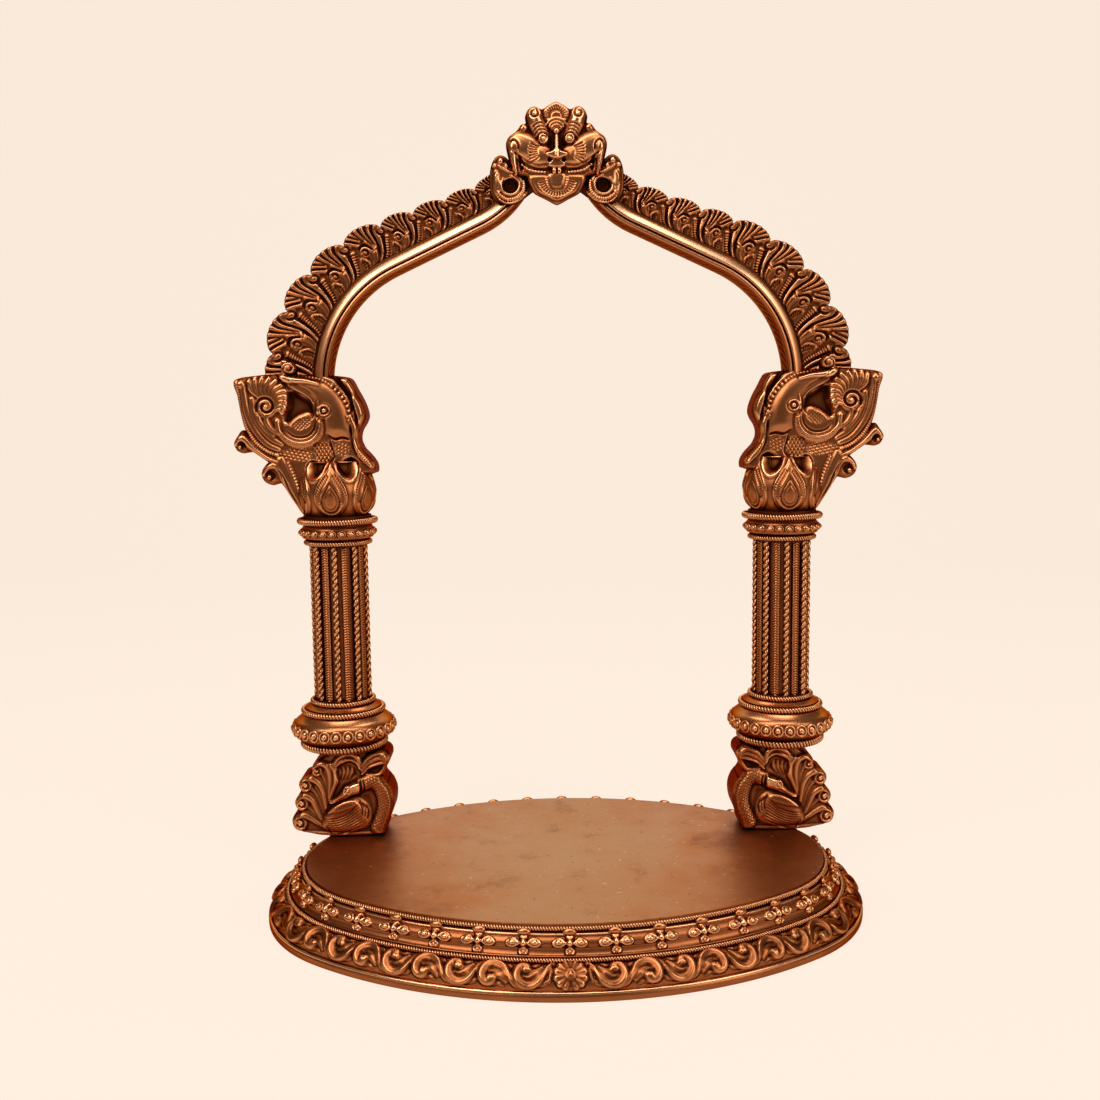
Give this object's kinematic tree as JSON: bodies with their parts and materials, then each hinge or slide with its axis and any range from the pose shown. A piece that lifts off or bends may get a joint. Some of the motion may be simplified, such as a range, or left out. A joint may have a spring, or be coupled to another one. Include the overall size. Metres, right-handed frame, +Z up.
{
  "type": "brass prabhavali",
  "caption": "Antiqued brass shrine frame: twin rope-clad columns on bird feet carry an ogee arch with leaf fringe, makaras and lion mask, over an oval pedestal.",
  "frame": {"origin": "on the table under the middle of the oval pedestal", "axes": "+Z up, +X to the viewer's right along the arch, -Y towards the front with the lion's face"},
  "size_m": [0.3344, 0.213, 0.406],
  "materials": {
    "cast_brass": "cast, antiqued dark in the recesses and rubbed bright on the high parts",
    "bright_brass": "twisted wire and chased ornament, rubbed bright",
    "dark_brass": "plain turned or sawn metal, unpolished, out of sight"
  },
  "bodies": {
    "base": {"pedestal_shell": "cast_brass", "top_plate": "cast_brass", "upper_rope": "bright_brass", "lower_rope": "bright_brass", "flower_bosses": "bright_brass", "scroll_vine": "bright_brass", "front_rosette": "bright_brass", "rear_rosette": "bright_brass", "left_socket": "dark_brass", "right_socket": "dark_brass"},
    "frame": {"left_peg": "dark_brass", "right_peg": "dark_brass", "left_foot_bird": "cast_brass", "right_foot_bird": "cast_brass", "left_tie_rod": "dark_brass", "right_tie_rod": "dark_brass", "left_bell_disc": "cast_brass", "right_bell_disc": "cast_brass", "left_disc_ropes": "bright_brass", "right_disc_ropes": "bright_brass", "left_disc_bosses": "bright_brass", "right_disc_bosses": "bright_brass", "left_shaft": "cast_brass", "right_shaft": "cast_brass", "left_shaft_cables": "bright_brass", "right_shaft_cables": "bright_brass", "left_shaft_strips": "cast_brass", "right_shaft_strips": "cast_brass", "left_capital": "cast_brass", "right_capital": "cast_brass", "left_capital_ropes": "bright_brass", "right_capital_ropes": "bright_brass", "left_capital_beads": "bright_brass", "right_capital_beads": "bright_brass", "left_lotus": "cast_brass", "right_lotus": "cast_brass", "left_makara": "cast_brass", "right_makara": "cast_brass", "left_arch_dowel": "dark_brass", "right_arch_dowel": "dark_brass", "left_arch": "cast_brass", "right_arch": "cast_brass", "left_fringe": "cast_brass", "right_fringe": "cast_brass", "left_crest_dowel": "dark_brass", "right_crest_dowel": "dark_brass", "left_crest_scroll": "cast_brass", "right_crest_scroll": "cast_brass", "crest_block": "dark_brass", "lion_mask": "bright_brass", "mask_rivets": "dark_brass"}
  },
  "joints": [
    {"name": "frame_lift", "type": "slide", "parent": "base", "child": "frame", "axis": [0, 0, 1], "range_m": [0, 0.06]}
  ]
}
